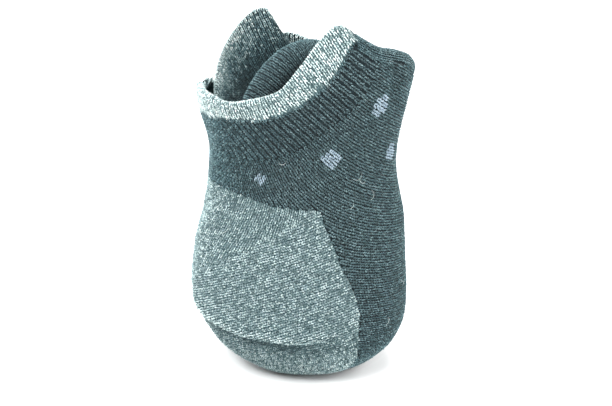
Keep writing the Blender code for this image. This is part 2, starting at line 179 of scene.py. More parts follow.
# Small soft troughs (-) and ridges (+): their middle, the way they run, and their size.
SOFT_FOLDS = table(
    "angle height slope run width depth",
    [
        (52, 97.0, 100, 7.5, 2.2, -0.9), (43, 95.0, 105, 9.0, 2.6, 0.5), (63, 99.0, 96, 6.0, 2.4, 0.3),
        (-76, 56.0, 28, 7.0, 1.8, -0.6), (-70, 49.0, 34, 9.0, 2.2, 0.5), (-74, 42.0, 24, 8.0, 1.9, -0.5),
        (-58, 34.0, 18, 10.0, 2.6, 0.4), (-24, 80.5, 8, 10.0, 2.4, -0.4), (4, 72.0, -30, 9.0, 2.6, -0.35),
        (30, 48.0, 66, 11.0, 3.0, 0.4), (58, 62.0, 82, 10.0, 3.0, -0.35), (84, 72.0, 74, 10.0, 3.0, -0.5),
        (96, 34.0, 82, 12.0, 3.2, -0.5), (118, 66.0, 88, 13.0, 2.8, -0.8), (129, 62.0, 84, 12.0, 3.0, 0.5),
        (146, 36.0, 68, 14.0, 3.4, 0.6), (166, 64.0, 78, 12.0, 2.8, -0.8), (-172, 38.0, 58, 12.0, 3.2, 0.6),
        (-158, 62.0, 98, 12.0, 2.8, -0.7), (-140, 30.0, 76, 12.0, 3.0, -0.5),
    ],
)

# ---------------------------------------------------------------- how the knit runs

# The way the wales run over the outer sock: how far across from the front centre in mm, how high,
# the wales' slope in degrees on the cloth laid flat, and their spacing.
DARK_WALES = table(
    "across height slope wale",
    [
        (-52, 85, -62, 1.6), (-36, 86, -54, 1.6), (-24, 84, -51, 1.6), (-8, 86, -51, 1.8),
        (5, 90, -45, 2.0), (10, 104, -38, 2.2), (-48, 70, -80, 1.4), (-34, 69, -78, 1.4),
        (-21, 69, -72, 1.35), (-7, 69, -62, 1.4), (-1, 68, -55, 1.45), (9, 75, -38, 1.45),
        (15, 70, -26, 1.4), (24, 72, -20, 1.4), (15, 92, -36, 1.9), (22, 102, -32, 1.7),
        (32, 98, -25, 1.55), (44, 92, -14, 1.4), (12, 52, -16, 1.35), (20, 42, -11, 1.35),
        (30, 60, -10, 1.35), (30, 25, -9, 1.35), (42, 60, -7, 1.35), (42, 20, -5, 1.35),
        (60, 50, -2, 1.35), (60, 88, -7, 1.35), (90, 50, 0, 1.35), (90, 80, 0, 1.35),
        (90, 15, 0, 1.35), (125, 50, 1, 1.35), (125, 15, 2, 1.35), (160, 50, 2, 1.35),
        (160, 15, 3, 1.35), (160, 78, 0, 1.35),
    ],
)
RIB_WALES = table(
    "across height slope wale",
    [
        (-64, 82, -66, 1.6), (-52, 85, -62, 1.6), (-36, 86, -56, 1.65), (-24, 84, -52, 1.7),
        (-8, 86, -51, 1.85), (5, 90, -45, 2.0), (10, 104, -39, 2.0), (15, 92, -38, 1.9),
        (22, 102, -35, 1.8),
    ],
)
HEEL_TOP_WALES = table(
    "across height slope wale",
    [
        (-60, 55, 66, 1.6), (-42, 52, 64, 1.6), (-25, 57, 68, 1.6), (-18, 50, 63, 1.75),
        (-5, 57, 75, 1.5), (2, 55, 84, 1.5),
    ],
)
HEEL_SOLE_WALES = table(
    "across height slope wale",
    [
        (-60, 16, 18, 1.5), (-42, 16, 28, 1.5), (-25, 24, 27, 1.5), (-10, 36, 24, 1.55),
        (4, 46, 20, 1.55), (12, 24, 17, 1.5), (0, 8, 14, 1.45),
    ],
)
HEEL_MITRE = table("across height", [(-70, 14), (-38, 32), (5, 61)])  # where the heel's two halves meet

# Dots knitted into the leg and the top of the foot.
DOTS = table(
    "angle height half_width half_height",
    [
        (-25, 69.0, 2.0, 1.3), (14, 75.8, 3.1, 2.7), (43, 90.8, 2.6, 2.9), (63, 73.9, 2.6, 2.9),
        (88, 88.0, 2.8, 2.7), (104, 68.0, 2.8, 2.7), (130, 77.0, 2.8, 2.7), (150, 60.0, 2.8, 2.7),
        (176, 72.0, 2.8, 2.7), (200, 57.0, 2.8, 2.7), (224, 70.0, 2.8, 2.7), (-92, 69.0, 2.4, 2.2),
    ],
)

# ---------------------------------------------------------------- smooth lines and the body's surface


def through(xs, ys, x):
    """A smooth curve through the points (xs, ys), read at x."""
    x = np.clip(x, xs[0], xs[-1])
    slopes = np.gradient(ys, xs)
    i = np.clip(np.searchsorted(xs, x, side="right") - 1, 0, len(xs) - 2)
    run = xs[i + 1] - xs[i]
    f = (x - xs[i]) / run
    rise = ys[i] * (2 * f**3 - 3 * f**2 + 1) + ys[i + 1] * (3 * f**2 - 2 * f**3)
    return rise + run * (slopes[i] * (f**3 - 2 * f**2 + f) + slopes[i + 1] * (f**3 - f**2))


def height_at(line, angle):
    return through(line["angle"], line["height"], angle)


def angle_at(line, height):
    return through(line["height"], line["angle"], height)


def soft_step(x):
    x = np.clip(x, 0, 1)
    return x * x * (3 - 2 * x)


def humps(x, shape):
    """Soft humps and hollows along x, from a table of their places, widths and shares."""
    rows = zip(shape["below"], shape["width"], shape["share"])
    return sum(share * np.exp(-(((x - at) / width) ** 2)) for at, width, share in rows)


def ring_value(column, level):
    return through(np.arange(len(RINGS[column]), dtype=float), RINGS[column], level)


LEVELS = np.linspace(0, len(RINGS["height"]) - 1, 1200)
LEVEL_HEIGHTS = np.maximum.accumulate(ring_value("height", LEVELS))


def level_at(height):
    return np.interp(height, LEVEL_HEIGHTS + 1e-6 * LEVELS, LEVELS)


def soft_folds(away, height):
    """The small soft troughs (-) and ridges (+) of the handled cloth."""
    relief = np.zeros(np.broadcast(away, height).shape)
    for angle, middle, slope, run, width, depth in zip(*SOFT_FOLDS.values()):
        across = ((away - angle + 180) % 360 - 180) * MM_PER_DEGREE
        turn = np.radians(slope)
        along = across * np.cos(turn) + (height - middle) * np.sin(turn)
        aside = (height - middle) * np.cos(turn) - across * np.sin(turn)
        relief = relief + depth * np.exp(-((along / run) ** 2) - (aside / width) ** 2)
    return relief


def fold_relief(angle, height):
    """How far the folds push the cloth out (+) or in (-)."""
    away = (angle + 180) % 360 - 180
    below = height_at(CREASE, away) - height
    tuck = soft_step((below + 0.4) / 1.8) * (0.45 + 0.55 * soft_step(1 - (below - 4) / 13))
    section = humps(below, CREASE_EDGES) - tuck
    crease = through(CREASE["angle"], CREASE["depth"], away) * section * soft_step(height / 3)
    above_neck = height - height_at(RIB_END, away) + CLOTH
    near_neck = soft_step((44 - np.abs(away - NECK_ANGLE)) / 30)
    pinch = -NECK_PINCH * np.exp(-((above_neck / NECK_HEIGHT) ** 2)) * near_neck
    return np.where((away > -126) & (away < 40), crease + pinch, 0.0) + soft_folds(away, height)


def body(angle, level):
    turn = np.radians(angle)
    side, front = np.sin(turn), np.cos(turn)
    power = 2 / ROUNDNESS
    across = np.sign(side) * np.abs(side) ** power
    ahead = np.sign(front) * np.abs(front) ** power
    x = ring_value("centre_x", level) + ring_value("half_width", level) * across + SHIFT_X
    y = ring_value("centre_y", level) - ring_value("half_depth", level) * ahead
    z = np.maximum(ring_value("height", level), 0.0) * np.ones_like(x)
    return np.stack([x, y, z], -1)


def unit(vectors):
    return vectors / np.maximum(np.linalg.norm(vectors, axis=-1, keepdims=True), 1e-9)


def outward(angle, level):
    along = body(angle + 1.0, level) - body(angle - 1.0, level)
    up = body(angle, level + 0.05) - body(angle, np.maximum(level - 0.05, 0.0))
    return -unit(np.cross(up, along))


def lap_lift(angle, height):
    """The heel's and the leg's edge stands over the end of the foot, which sinks under it."""
    start = angle_at(LAP, height)
    over = LAP_LIFT * (1 - soft_step((angle - start) / LAP_REACH))
    near = np.clip(EDGE_ROUND - (angle - start) * MM_PER_DEGREE, 0, EDGE_ROUND)
    turned = EDGE_ROUND - np.sqrt(EDGE_ROUND**2 - near**2)
    under = FOOT_SINK * (1 - soft_step((start + 360 - angle) / LAP_REACH)) * (angle > 100)
    return ((over - turned) * (angle < 100) - under) * soft_step(height / 8)


def rim_lift(angle, height):
    """The rim rolls outwards a little."""
    rim = through(WELT["rim_angle"], WELT["rim_height"], angle)
    near = 1 - (rim - height) / WELT_WIDTH
    return RIM_ROLL * (angle < CORNER_ANGLE + 3) * soft_step(near)


# The cloth laid flat: how far across from the front centre, and how far up from the underside.
TURNS = np.arange(-200.0, 300.0, 0.5)
_ring = body(TURNS, np.full_like(TURNS, level_at(50.0)))
ACROSS = np.concatenate([[0], np.cumsum(np.linalg.norm(np.diff(_ring, axis=0), axis=1))])
ACROSS = ACROSS - np.interp(0.0, TURNS, ACROSS)
_reach = (ring_value("half_width", LEVELS) + ring_value("half_depth", LEVELS)) / 2
UP = np.concatenate([[0], np.cumsum(np.hypot(np.diff(_reach), np.diff(LEVEL_HEIGHTS)))])


def angle_of(across):
    return np.interp(across, ACROSS, TURNS)


def across_of(angle):
    return np.interp(angle, TURNS, ACROSS)


def height_of(up):
    return np.interp(up, UP, LEVEL_HEIGHTS)


def up_of(height):
    return np.interp(level_at(height), LEVELS, UP)


def wrap(across, up, lift=0.0):
    """The place on the bundle of a point of the flat cloth."""
    angle = angle_of(across)
    level = np.interp(up, UP, LEVELS)
    height = ring_value("height", level)
    out = lift + fold_relief(angle, height) + lap_lift(angle, height) + rim_lift(angle, height)
    return body(angle, level) + outward(angle, level) * out[..., None]


# ---------------------------------------------------------------- colours and materials


def linear(code):
    """An sRGB hex colour as linear red, green and blue."""
    parts = np.array([int(code[i : i + 2], 16) for i in (1, 3, 5)]) / 255
    return tuple(np.where(parts <= 0.04045, parts / 12.92, ((parts + 0.055) / 1.055) ** 2.4)) + (1.0,)


def add(tree, kind, links=None, **settings):
    """Adds a node with its settings, and links {input: output} into it."""
    node = tree.nodes.new(kind)
    for key, value in settings.items():
        if key in node.inputs:
            node.inputs[key].default_value = value
        else:
            setattr(node, key, value)
    for key, output in (links or {}).items():
        tree.links.new(output, node.inputs[key])
    return node


def ramp(tree, fac, stops):
    node = add(tree, "ShaderNodeValToRGB", {"Fac": fac})
    elements = node.color_ramp.elements
    while len(elements) < len(stops):
        elements.new(0.5)
    for element, (position, code) in zip(elements, stops):
        element.position = position
        element.color = linear(code)
    return node.outputs["Color"]


def matt_material(name, roughness, specular):
    """A plain matt material, its node tree and its shader."""
    material = bpy.data.materials.new(name)
    material.use_nodes = True
    shader = material.node_tree.nodes["Principled BSDF"]
    shader.inputs["Roughness"].default_value = roughness
    shader.inputs["Specular IOR Level"].default_value = specular
    return material, material.node_tree, shader


FIBRES_PER_M = 2900.0  # bundles of fibre about a third of a mm across, coarser than single fibres
FLECKS_PER_M = 1300.0
FIBRE_CONTRAST = 2.6  # how far the fibres in one yarn differ in tone


def yarn_material(name, stops, sheen):
    """Heathered cotton yarn: dark and pale fibres spun together, matt, with a soft nap."""
    material, tree, shader = matt_material(name, 0.92, 0.25)
    tone = add(tree, "ShaderNodeAttribute", attribute_name="tone")
    places = add(tree, "ShaderNodeTexCoord")
    fibres = add(
        tree, "ShaderNodeTexNoise", {"Vector": places.outputs["Object"]}, Scale=FIBRES_PER_M, Detail=2.0
    )
    spread = add(tree, "ShaderNodeMath", {0: fibres.outputs["Fac"]}, operation="MULTIPLY_ADD")
    spread.inputs[1].default_value = FIBRE_CONTRAST
    spread.inputs[2].default_value = -FIBRE_CONTRAST / 2
    both = add(
        tree, "ShaderNodeMath", {0: tone.outputs["Fac"], 1: spread.outputs[0]}, operation="ADD"
    )
    colour = ramp(tree, both.outputs[0], stops)
    tree.links.new(colour, shader.inputs["Base Color"])
    shader.inputs["Sheen Weight"].default_value = sheen
    shader.inputs["Sheen Roughness"].default_value = 0.5
    shader.inputs["Sheen Tint"].default_value = linear("#CFE2E2")
    return material


LIGHT_YARN = yarn_material(
    "heathered_cotton_light",
    [(0.0, "#2C4145"), (0.3, "#5B7376"), (0.6, "#8AA1A3"), (1.0, "#D8E6E5")], 0.3,
)
DARK_YARN = yarn_material(
    "heathered_cotton_charcoal",
    [(0.0, "#17282C"), (0.35, "#2F464B"), (0.7, "#47646A"), (1.0, "#86A2A6")], 0.25,
)
DOT_YARN = yarn_material(
    "heathered_cotton_lilac",
    [(0.0, "#6E8190"), (0.5, "#93A7B5"), (1.0, "#BACAD6")], 0.25,
)
WELT_YARN = yarn_material(
    "heathered_cotton_welt",
    [(0.0, "#3C5253"), (0.3, "#869D9E"), (0.6, "#BFD1D0"), (1.0, "#F2F9F8")], 0.3,
)
MIXED_YARN = yarn_material(
    "heathered_cotton_mixed",
    [(0.0, "#3A5154"), (0.4, "#5F787B"), (0.7, "#869E9F"), (1.0, "#C6D6D5")], 0.3,
)


def cloth_material(name, low, high):
    """The ground between the stitches: the same yarn coloured darker as painted shade in the gaps, in fine
    purl ridges.
    """
    material, tree, shader = matt_material(name, 0.95, 0.2)
    places = add(tree, "ShaderNodeTexCoord")
    fleck = add(
        tree, "ShaderNodeTexNoise", {"Vector": places.outputs["Object"]}, Scale=FLECKS_PER_M, Detail=3.0
    )
    colour = ramp(tree, fleck.outputs["Fac"], [(0.35, low), (0.65, high)])
    tree.links.new(colour, shader.inputs["Base Color"])
    bump = add(
        tree, "ShaderNodeBump", {"Height": fleck.outputs["Fac"]}, Strength=0.8, Distance=0.0004
    )
    tree.links.new(bump.outputs["Normal"], shader.inputs["Normal"])
    return material


# Both grounds are painted shade: far darker than their yarn, for the shadowed gaps between stitches.
LIGHT_GROUND = cloth_material("light_knit_ground", "#293A3D", "#4C6265")
DARK_GROUND = cloth_material("charcoal_knit_ground", "#0B1316", "#1D2A2E")

# ---------------------------------------------------------------- meshes


def new_mesh(name, points, faces, materials, uv=None, tone=None, wears=None):
    """An object from arrays: points in mm, and faces that all have the same number of corners."""
    mesh = bpy.data.meshes.new(name)
    corners = faces.shape[1]
    mesh.vertices.add(len(points))
    mesh.vertices.foreach_set("co", (points * MM).astype(np.float32).ravel())
    mesh.loops.add(faces.size)
    mesh.loops.foreach_set("vertex_index", faces.astype(np.int32).ravel())
    mesh.polygons.add(len(faces))
    mesh.polygons.foreach_set("loop_start", np.arange(0, faces.size, corners, dtype=np.int32))
    mesh.polygons.foreach_set("use_smooth", np.ones(len(faces), bool))
    for material in materials:
        mesh.materials.append(material)
    if wears is not None:
        mesh.polygons.foreach_set("material_index", wears.astype(np.int32))
    mesh.update(calc_edges=True)
    if uv is not None:
        layer = mesh.uv_layers.new(name="OFBake")
        layer.uv.foreach_set("vector", uv[faces.ravel()].astype(np.float32).ravel())
    if tone is not None:
        tones = mesh.attributes.new("tone", "FLOAT", "POINT")
        tones.data.foreach_set("value", tone.astype(np.float32))
    mesh.validate()
    piece = bpy.data.objects.new(name, mesh)
    bpy.context.scene.collection.objects.link(piece)
    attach(piece, "root")
    return piece


def shell(name, outer, inner, material):
    """A closed sheet between two grids of points of the same size."""
    rows, columns = outer.shape[:2]
    index = np.arange(rows * columns).reshape(rows, columns)
    back = index + rows * columns

    def quads(a):
        return np.stack([a[:-1, :-1], a[1:, :-1], a[1:, 1:], a[:-1, 1:]], -1).reshape(-1, 4)

    border = np.concatenate([index[0], index[1:, -1], index[-1, -2::-1], index[-2:0:-1, 0]])
    after = np.roll(border, -1)
    edge = np.stack([border, after, after + rows * columns, border + rows * columns], -1)
    faces = np.concatenate([quads(index), quads(back)[:, ::-1], edge])
    points = np.concatenate([outer.reshape(-1, 3), inner.reshape(-1, 3)])
    return new_mesh(name, points, faces, [material])


def settle(line, column, angle):
    """The height at which a column of the panel meets a line."""
    for _ in range(5):
        height = line(angle)
        angle = column(height)
    return height


def panel_grid(left, right, bottom, top, columns, rows):
    """Flat places of a panel's grid, with its sides given as angles and its ends as heights."""
    grid = []
    for share in np.linspace(0, 1, columns):

        def column(height, share=share):
            return right(height) * share + left(height) * (1 - share)

        high = settle(top, column, column(ANKLE_HEIGHT))
        low = settle(bottom, column, column(ANKLE_HEIGHT)) if bottom else 0.0
        ups = np.linspace(up_of(low) if bottom else 0.0, up_of(high), rows)
        grid.append([(across_of(column(height_of(u))), u) for u in ups])
    return np.array(grid)


def panel_shell(name, grid, thickness, sink, material):
    across, up = grid[..., 0], grid[..., 1]
    outer = wrap(across, up, np.full(across.shape, -sink))
    inner = wrap(across, up, -np.maximum(thickness, sink + 0.6) * np.ones(across.shape))
    return shell(name, outer, inner, material)


# ---------------------------------------------------------------- the stitches

STITCH_SINK = 0.32  # how far the stitches' middle planes lie under the cloth's face
NAP_SINK = 0.1
LEG_REACH = 0.62  # from a stitch leg's middle to its tip, in courses
TIP_SINK = 0.22  # the tips go down into the ground
SIDE_SINK = 0.04
FIT_TERMS = [11, 4]  # of the smooth counts, across and up
CROSS_WEIGHT = 3.0  # a count staying level along its own run matters this much more


def basis(u, v, extent):
    """The smooth terms that the counts are made of, at flat places."""
    x = (2 * u - extent[0] - extent[1]) / (extent[1] - extent[0])
    y = (2 * v - extent[2] - extent[3]) / (extent[3] - extent[2])
    return np.polynomial.chebyshev.chebvander2d(x, y, FIT_TERMS)[..., 1:]


def count_maps(u, v, slope, wale, course, extent, reach=14.0):
    """Fits two smooth counts over flat cloth, wales across and courses along, to the given runs."""
    at_u, at_v = np.meshgrid(np.linspace(*extent[:2], 40), np.linspace(*extent[2:], 26))
    at_u, at_v = at_u.ravel(), at_v.ravel()
    away = (at_u[:, None] - u) ** 2 + (at_v[:, None] - v) ** 2
    nearest = away.min(axis=1, keepdims=True)
    weight = np.exp(-(away - nearest) / (2 * reach**2))
    weight = weight / weight.sum(axis=1, keepdims=True)
    turn = np.radians(slope)
    run = unit(np.stack([weight @ np.cos(turn), weight @ np.sin(turn)], -1))
    cross = np.stack([-run[:, 1], run[:, 0]], -1)
    half = 0.5
    over = basis(at_u + half, at_v, extent) - basis(at_u - half, at_v, extent)
    upwards = basis(at_u, at_v + half, extent) - basis(at_u, at_v - half, extent)
    along_run = over * run[:, :1] + upwards * run[:, 1:]
    along_cross = over * cross[:, :1] + upwards * cross[:, 1:]
    calm = np.eye(over.shape[1]) * 0.02
    still = np.zeros(len(calm))
    zero = np.zeros(len(at_u))
    wales = np.linalg.lstsq(
        np.concatenate([along_run * CROSS_WEIGHT, along_cross, calm]),
        np.concatenate([zero, 1 / (weight @ wale), still]), rcond=None,
    )[0]
    courses = np.linalg.lstsq(
        np.concatenate([along_cross, along_run, calm]),
        np.concatenate([zero, 1 / (weight @ course), still]), rcond=None,
    )[0]
    return np.stack([wales, courses], -1)


def crossings(counts, extent, fine=0.34):
    """The flat places where a wale and a course cross, their numbers, and the cloth per count."""
    u, v = np.meshgrid(np.arange(extent[0], extent[1], fine), np.arange(extent[2], extent[3], fine))
    u, v = u.ravel(), v.ravel()
    value = basis(u, v, extent) @ counts
    whole = np.rint(value).astype(np.int64)
    order = np.argsort(np.abs(value - whole).sum(axis=1), kind="stable")
    key = whole[order, 0] * 100000 + whole[order, 1]
    _, first = np.unique(key, return_index=True)
    pick = order[first]
    u, v, whole = u[pick], v[pick], whole[pick]
    half = 0.25
    for _ in range(3):
        value = basis(u, v, extent) @ counts
        du = (basis(u + half, v, extent) - basis(u - half, v, extent)) @ counts / (2 * half)
        dv = (basis(u, v + half, extent) - basis(u, v - half, extent)) @ counts / (2 * half)
        slope = np.stack([du, dv], -1)
        per_count = np.linalg.inv(slope)
        move = np.einsum("nij,nj->ni", per_count, whole - value)
        move = np.clip(move, -1.0, 1.0)
        u, v = u + move[:, 0], v + move[:, 1]
    near = np.abs(basis(u, v, extent) @ counts - whole).max(axis=1) < 0.1
    return u[near], v[near], whole[near], per_count[near]


def leg_template(lean, width, rise):
    """One yarn leg of a stitch, and its faces, tips included.

    Its points are courses along, wales across to its middle, wales from there to its side, and mm up.
    """
    points = [(-LEG_REACH, lean[0], 0, -TIP_SINK)]
    for share in (0.3, 0.7):
        along = LEG_REACH * (2 * share - 1)
        middle = lean[0] + (lean[1] - lean[0]) * share
        for aside, high in ((-width, 0), (0, rise), (width, 0)):
            points.append((along, middle, aside, high - SIDE_SINK))
    points.append((LEG_REACH, lean[1], 0, -TIP_SINK))
    faces = []
    for i in range(3):
        j = (i + 1) % 3
        faces += [(0, 1 + i, 1 + j), (1 + i, 4 + i, 4 + j), (1 + i, 4 + j, 1 + j), (7, 4 + j, 4 + i)]
    return np.array(points), np.array(faces)


def knit(
    name, place, maps, extent, region, yarns, chosen=None, side=1.0, fill=1.0, rise=0.36,
    lean=(0.14, 0.34), width=0.135, heather=0.7, full=1.0, painted_shade=None, seed=1,
):
    """The stitches of a piece of cloth, each a V of two legs lying on the surface.

    place gives the surface over flat cloth, maps the counts of wales and courses, region what is
    worked, chosen the yarn of each stitch and painted_shade the painted light and shade added to its tone.
    side -1 shows the cloth's back, fill is the share of a wale that is covered, and full is how plump the
    second yarn is.
    """
    rng = np.random.default_rng(seed)
    u, v, whole, per_count = crossings(maps, extent)
    keep = region(u, v)
    u, v, whole, per_count = u[keep], v[keep], whole[keep], per_count[keep]
    count = len(u)
    half = 0.3
    over = (place(u + half, v) - place(u - half, v)) / (2 * half)
    up = (place(u, v + half) - place(u, v - half)) / (2 * half)
    normal = unit(np.cross(over, up)) * side
    wale = over * per_count[:, 0, :1] + up * per_count[:, 1, :1]
    course = over * per_count[:, 0, 1:] + up * per_count[:, 1, 1:]
    middle = place(u, v)
    template, faces = leg_template(lean, width, rise)
    wears = np.zeros(count, int)
    if chosen is not None:
        wears[:] = chosen(u, v)
    thick = np.where(wears == 1, full, 1.0)[:, None]
    points = np.empty((count, 2, len(template), 3))
    uv = np.empty((count, 2, len(template), 2))
    jitter = rng.normal(0, 0.05, (count, 2, 2))
    plump = 1 + rng.normal(0, 0.10, (count, 2))
    for k, hand in enumerate((-1.0, 1.0)):
        along = template[:, 0] + jitter[:, k, :1]
        across = ((template[:, 1] + template[:, 2] * thick) * hand + jitter[:, k, 1:]) * fill
        lift = template[:, 3] * plump[:, k : k + 1]
        points[:, k] = (
            middle[:, None] + course[:, None] * along[..., None] + wale[:, None] * across[..., None]
            + normal[:, None] * lift[..., None]
        )
        uv[:, k, :, 0] = whole[:, :1] + (template[:, 1] + template[:, 2]) * hand
        uv[:, k, :, 1] = whole[:, 1:] + template[:, 0] * 0.8
    low, high = uv.min(axis=(0, 1, 2)), uv.max(axis=(0, 1, 2))
    uv = (uv - low) / (high - low)
    stitch_tone = rng.random((count, 1))
    tone = 0.5 + heather * (0.4 * (stitch_tone - 0.5) + 0.6 * (rng.random((count, 2)) - 0.5))
    if painted_shade is not None:
        tone = tone + painted_shade(u, v)[:, None]
    tones = np.repeat(tone[..., None], len(template), axis=2)
    start = (np.arange(count * 2) * len(template)).reshape(count, 2, 1, 1)
    all_faces = np.broadcast_to(faces, (count, 2, *faces.shape)).copy() + start
    if side > 0:
        all_faces[:, 0] = all_faces[:, 0, :, ::-1]
    else:
        all_faces[:, 1] = all_faces[:, 1, :, ::-1]
    return new_mesh(
        name, points.reshape(-1, 3), all_faces.reshape(-1, 3), yarns, uv.reshape(-1, 2),
        tones.ravel(), np.repeat(wears, 2 * len(faces)),
    )


def sock_maps(runs, course, extent):
    courses = np.full(len(runs["wale"]), course)
    return count_maps(
        runs["across"], up_of(runs["height"]), runs["slope"], runs["wale"], courses, extent
    )


def painted_crease_light(u, v):
    """Painted light at the crease: a paler lip as painted highlight, and painted shade on the cloth under
    it, stronger towards the left.
    """
    angle, height = angle_of(u), height_of(v)
    below = height_at(CREASE, angle) - height
    deep = np.minimum(through(CREASE["angle"], CREASE["depth"], angle) / 1.5, 1)
    shade = humps(below, CREASE_PAINTED_LIGHT) - 0.10 * soft_step(below / 4)
    return deep * shade * (1 + 0.8 * soft_step((-36 - angle) / 24))


def dotted(u, v):
    """Whether a stitch is in one of the knitted dots."""
    angle, height = angle_of(u), height_of(v)
    inside = np.zeros(u.shape, bool)
    for a, h, wide, tall in zip(*DOTS.values()):
        off = (u - across_of(a)) / wide
        inside |= off**2 + ((height - h) / tall) ** 2 < 1
    return inside


# ---------------------------------------------------------------- the outer sock

SINK = 0.42  # how far the ground lies under the cloth's face
DOT_FULLNESS = 1.4  # the dots' yarn covers the ground
BACK_ANGLE = 100.0


def lap_edge(height):
    return angle_at(LAP, height)


def gusset_heel(height):
    return angle_at(GUSSET, np.minimum(height, ANKLE_HEIGHT))


def front_line(height):
    """Where the foot begins: the gusset line, and above the ankle the line of the folded tube."""
    return np.where(height < ANKLE_HEIGHT, angle_at(GUSSET, height), angle_at(LEG_FRONT, height))


def foot_end(height):
    return angle_at(LAP, height) + 360


def fold_height(angle):
    return height_at(FOLD_TOP, np.maximum(angle, CORNER_ANGLE))


def welt_foot(angle):
    return through(WELT["foot_angle"], WELT["foot_height"], angle)


FOLD_BAND = 4.0  # height of cloth worked as one band with the folded edge


def rib_top(angle):
    fold = fold_height(angle) - FOLD_BAND
    return np.minimum(np.where(angle < 24, welt_foot(angle), fold), np.where(angle > 19, fold + 3, 200))


DARK_CLOTH = (across_of(-128), across_of(262), 0.0, up_of(113.9))
RIB_CLOTH = (across_of(-128), across_of(46), up_of(70.0), up_of(113.9))
WHOLE_HEEL = (across_of(-128), across_of(40), 0.0, up_of(68.0))


def surface(lift):
    return lambda u, v: wrap(u, v, np.full(np.shape(u), lift))


def above_mitre(u, v):
    """How far a place is above the line where the heel's two halves meet, which wanders a little."""
    wander = 1.2 * np.sin(u * 0.9) + 0.7 * np.sin(u * 2.3 + 1)
    return height_of(v) - np.interp(u, HEEL_MITRE["across"], HEEL_MITRE["height"]) - wander


def in_heel(u, v):
    angle, height = angle_of(u), height_of(v)
    across = (angle > lap_edge(height)) & (angle < gusset_heel(height))
    return across & (height < height_at(HEEL_TOP, angle))


def in_leg(u, v):
    angle, height = angle_of(u), height_of(v)
    across = (angle > lap_edge(height)) & (angle < front_line(height))
    return across & (height >= height_at(HEEL_TOP, angle)) & (height < height_at(RIB_END, angle))


def in_rib(u, v):
    angle, height = angle_of(u), height_of(v)
    across = (angle > lap_edge(height)) & (angle < front_line(height))
    return across & (height >= height_at(RIB_END, angle)) & (height < rib_top(angle))


def in_foot(u, v):
    angle, height = angle_of(u), height_of(v)
    across = (angle > front_line(height)) & (angle < foot_end(height))
    return across & (height < fold_height(angle) - FOLD_BAND)


heel_grid = panel_grid(lap_edge, gusset_heel, None, lambda a: height_at(HEEL_TOP, a), 70, 60)
heel_shell = panel_shell("heel_pocket_cloth", heel_grid, CLOTH, SINK, LIGHT_GROUND)
leg_grid = panel_grid(
    lap_edge, front_line, lambda a: height_at(HEEL_TOP, a), lambda a: height_at(RIB_END, a), 70, 16
)
leg_shell = panel_shell("leg_cloth", leg_grid, CLOTH, SINK, DARK_GROUND)
foot_grid = panel_grid(front_line, foot_end, None, lambda a: fold_height(a) - FOLD_BAND, 130, 80)
foot_shell = panel_shell("foot_cloth", foot_grid, CLOTH, SINK, DARK_GROUND)
rib_grid = panel_grid(lap_edge, front_line, lambda a: height_at(RIB_END, a), rib_top, 70, 18)
rib_shell = panel_shell("cuff_rib_front_cloth", rib_grid, CLOTH, SINK, DARK_GROUND)

heel_top_maps = sock_maps(HEEL_TOP_WALES, 0.82, WHOLE_HEEL)
heel_sole_maps = sock_maps(HEEL_SOLE_WALES, 0.76, WHOLE_HEEL)
dark_maps = sock_maps(DARK_WALES, 0.8, DARK_CLOTH)
rib_maps = sock_maps(RIB_WALES, 0.8, RIB_CLOTH)

on_cloth = surface(-STITCH_SINK)
heel_upper = knit(
    "heel_upper_stitches", on_cloth, heel_top_maps, WHOLE_HEEL,
    lambda u, v: in_heel(u, v) & (above_mitre(u, v) > -0.5), [LIGHT_YARN], heather=0.85,
    painted_shade=painted_crease_light, seed=2,
)
heel_lower = knit(
    "heel_lower_stitches", on_cloth, heel_sole_maps, WHOLE_HEEL,
    lambda u, v: in_heel(u, v) & (above_mitre(u, v) < 0.5), [LIGHT_YARN], width=0.155, heather=0.95,
    painted_shade=painted_crease_light, seed=3,
)
leg_stitches = knit(
    "leg_stitches", on_cloth, dark_maps, DARK_CLOTH, in_leg, [DARK_YARN, DOT_YARN], dotted,
    full=DOT_FULLNESS, seed=4,
)
rib_stitches = knit(
    "cuff_rib_front_stitches", on_cloth, rib_maps, RIB_CLOTH, in_rib, [DARK_YARN], fill=0.79,
    rise=0.44, seed=5,
)
rib_inside = knit(
    "cuff_rib_inside_stitches", surface(-CLOTH), rib_maps, RIB_CLOTH, in_rib, [DARK_YARN], side=-1.0,
    fill=0.8, rise=0.45, seed=15,
)
BACK_FROM = across_of(BACK_ANGLE)
foot_right = knit(
    "foot_right_stitches", on_cloth, dark_maps, DARK_CLOTH,
    lambda u, v: in_foot(u, v) & (u < BACK_FROM), [DARK_YARN, DOT_YARN], dotted,
    full=DOT_FULLNESS, seed=6,
)
foot_back = knit(
    "foot_back_stitches", on_cloth, dark_maps, DARK_CLOTH,
    lambda u, v: in_foot(u, v) & (u >= BACK_FROM), [DARK_YARN, DOT_YARN], dotted,
    full=DOT_FULLNESS, seed=7,
)

# ---------------------------------------------------------------- turned and folded edges

WELT_REACH = 9.0  # the welt's mean reach from its top
WELT_RADIUS = 1.5
RIM_RADIUS = 1.3
CORNER_LEAN = 2.0  # the left corner of the mouth leans in
FOLD_RADIUS = 2.0


